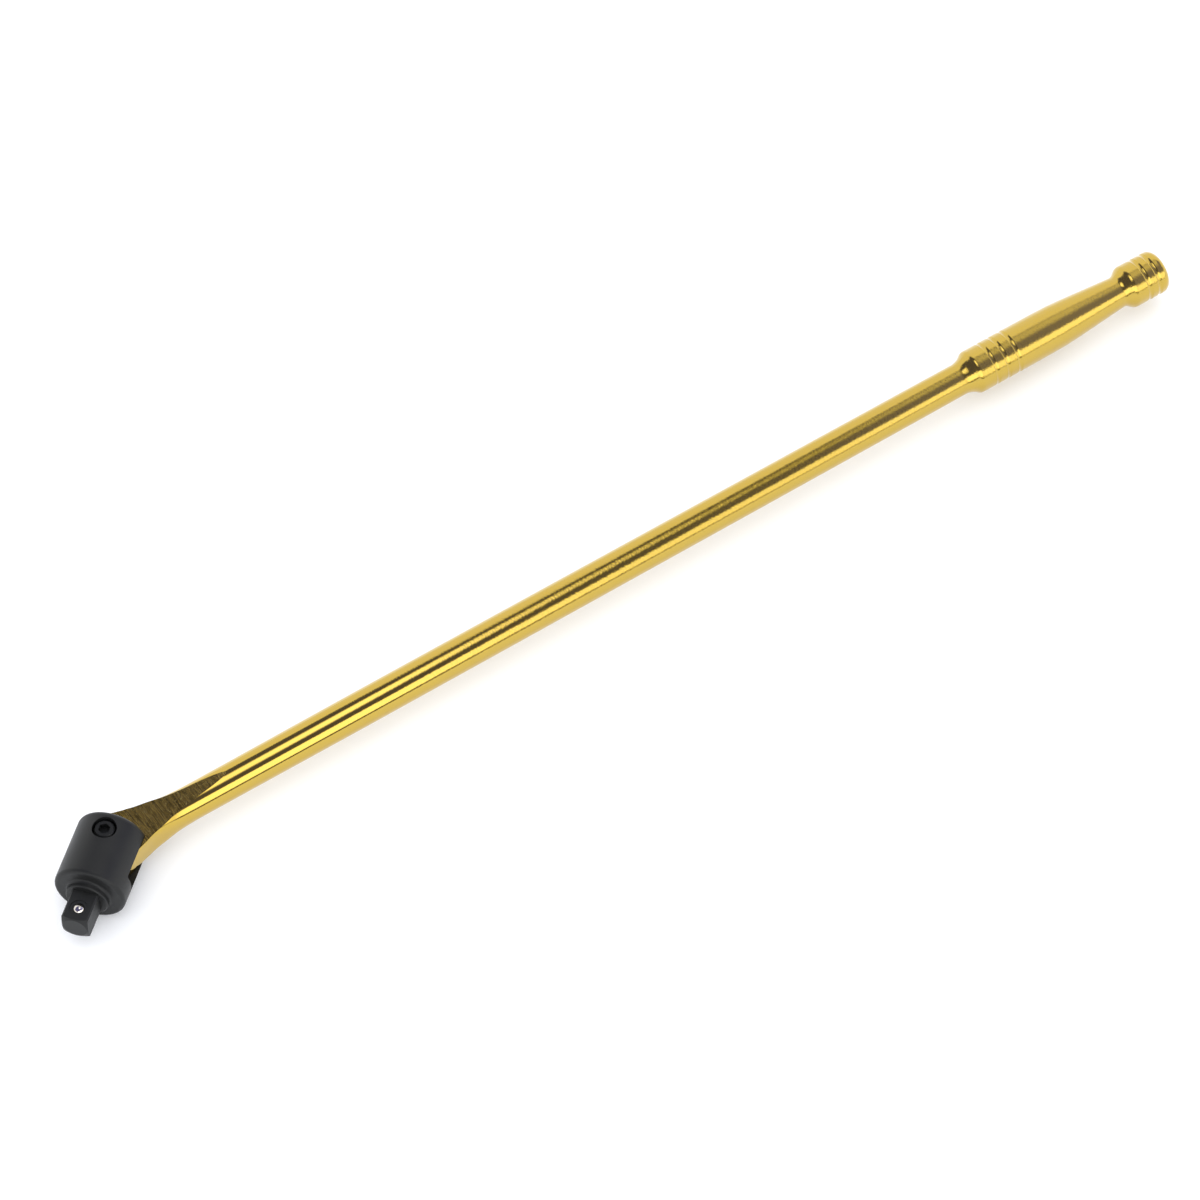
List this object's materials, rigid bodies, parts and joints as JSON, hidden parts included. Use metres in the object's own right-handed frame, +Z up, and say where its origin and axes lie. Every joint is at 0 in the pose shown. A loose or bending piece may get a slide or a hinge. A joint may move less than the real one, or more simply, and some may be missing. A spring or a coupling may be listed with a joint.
{
  "type": "breaker bar",
  "caption": "Flex-head breaker bar: polished steel bar with a turned grip and an eye in the slot of a short cylindrical drive head, with a sprung ball in its square.",
  "frame": {"origin": "on the bench, under the middle of the tool's box as it lies on its side with the head bent 40 degrees", "axes": "+X along the bar from the pivot to the end of the grip, +Z up along the pivot screw to its head, +Y across; the head bends towards -Y"},
  "size_m": [0.6336, 0.051, 0.0342],
  "materials": {
    "bar_steel": "mirror-polished steel with a warm, pale gold tint",
    "black_steel": "satin black oxide",
    "screw_steel": "satin black oxide",
    "ball_steel": "polished hardened steel",
    "spring_steel": "drawn spring wire"
  },
  "bodies": {
    "bar": {"bar": "bar_steel", "upper_friction_ball": "ball_steel", "lower_friction_ball": "ball_steel", "friction_spring": "spring_steel"},
    "drive_head": {"drive_head": "black_steel", "pivot_screw": "screw_steel", "drive_ball_spring": "spring_steel"},
    "drive_ball": {"drive_ball": "ball_steel"}
  },
  "joints": [
    {"name": "head_pivot", "type": "hinge", "parent": "bar", "child": "drive_head", "pos_m": [-0.27818, 0.0084, 0.0171], "axis": [0, 0, 1], "range_deg": [-140, 60]},
    {"name": "drive_ball_press", "type": "slide", "parent": "drive_head", "child": "drive_ball", "axis": [0, 0, -1], "range_m": [0, 0.0009], "stiffness_N_per_m": 3000, "springref_m": -0.002, "deforming": ["drive_ball_spring"]}
  ]
}
